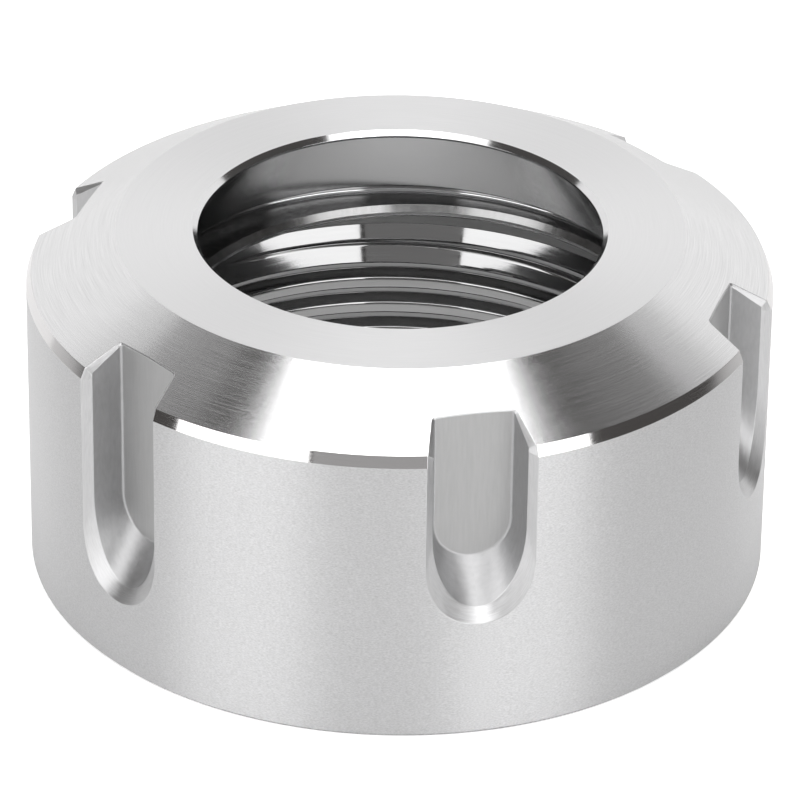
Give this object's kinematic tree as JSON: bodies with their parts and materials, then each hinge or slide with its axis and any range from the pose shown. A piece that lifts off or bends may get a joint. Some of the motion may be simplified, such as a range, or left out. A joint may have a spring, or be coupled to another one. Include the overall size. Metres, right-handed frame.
{
  "type": "collet clamping nut",
  "caption": "Round steel clamping nut for a spring collet: internally threaded, coned front face, spanner slots round the rim and an off-centre extractor ring inside.",
  "frame": {"origin": "centre of the flat rear (threaded) face, on the bore axis, at the lowest point of the nut", "axes": "+Z along the bore axis from the threaded rear face to the front face; the extractor ring is widest towards -X, and the nut is symmetric across the XZ plane"},
  "size_m": [0.05, 0.05, 0.0243],
  "materials": {
    "steel": "ground and satin"
  },
  "bodies": {
    "root": {"clamping_nut": "steel"}
  },
  "joints": []
}
